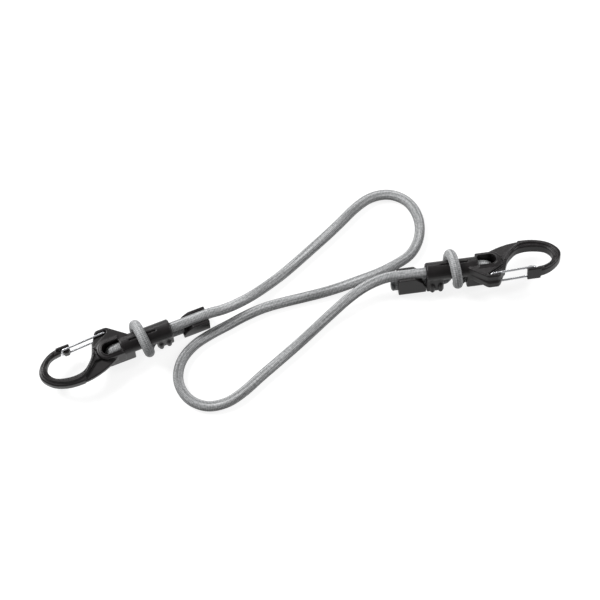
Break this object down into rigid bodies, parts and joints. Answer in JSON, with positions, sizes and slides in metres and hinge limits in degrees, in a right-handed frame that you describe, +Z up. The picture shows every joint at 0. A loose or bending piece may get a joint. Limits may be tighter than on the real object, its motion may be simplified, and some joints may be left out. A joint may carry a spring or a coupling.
{
  "type": "adjustable bungee cord",
  "caption": "Elastic braided cord lying in a flat S with a moulded carabiner hook and a sprung wire gate at each end; the cord wraps each hook's neck to set its length.",
  "frame": {"origin": "on the floor, under the middle of the box round the two hooks and their gates", "axes": "+X from the left hook to the right hook, +Y away from the viewer in the plane of the floor, +Z up off the floor"},
  "size_m": [0.299, 0.1366, 0.0254],
  "materials": {
    "hook_nylon": "moulded black glass-filled nylon, fine satin grain",
    "gate_wire": "drawn and bent stainless steel wire",
    "cord_braid": "grey braided polyester sheath",
    "cord_rubber": "natural latex strands",
    "sealed_tip": "heat-sealed end of the braid, smooth and slightly shiny"
  },
  "bodies": {
    "root": {"left_hook": "hook_nylon", "right_hook": "hook_nylon", "left_tail_clip": "hook_nylon", "right_tail_clip": "hook_nylon", "cord_sheath": "cord_braid", "cord_rubber_core": "cord_rubber", "left_cord_tip": "sealed_tip", "right_cord_tip": "sealed_tip"},
    "left_gate": {"left_wire_gate": "gate_wire"},
    "right_gate": {"right_wire_gate": "gate_wire"}
  },
  "joints": [
    {"name": "left_gate_hinge", "type": "hinge", "parent": "root", "child": "left_gate", "pos_m": [-0.11319, -0.01336, 0.0129], "axis": [0, 0, 1], "range_deg": [0, 25], "stiffness_Nm_per_rad": 0.03},
    {"name": "right_gate_hinge", "type": "hinge", "parent": "root", "child": "right_gate", "pos_m": [0.10818, 0.01971, 0.0167], "axis": [-0.0425, 0.3061, 0.9511], "range_deg": [0, 25], "stiffness_Nm_per_rad": 0.03}
  ]
}
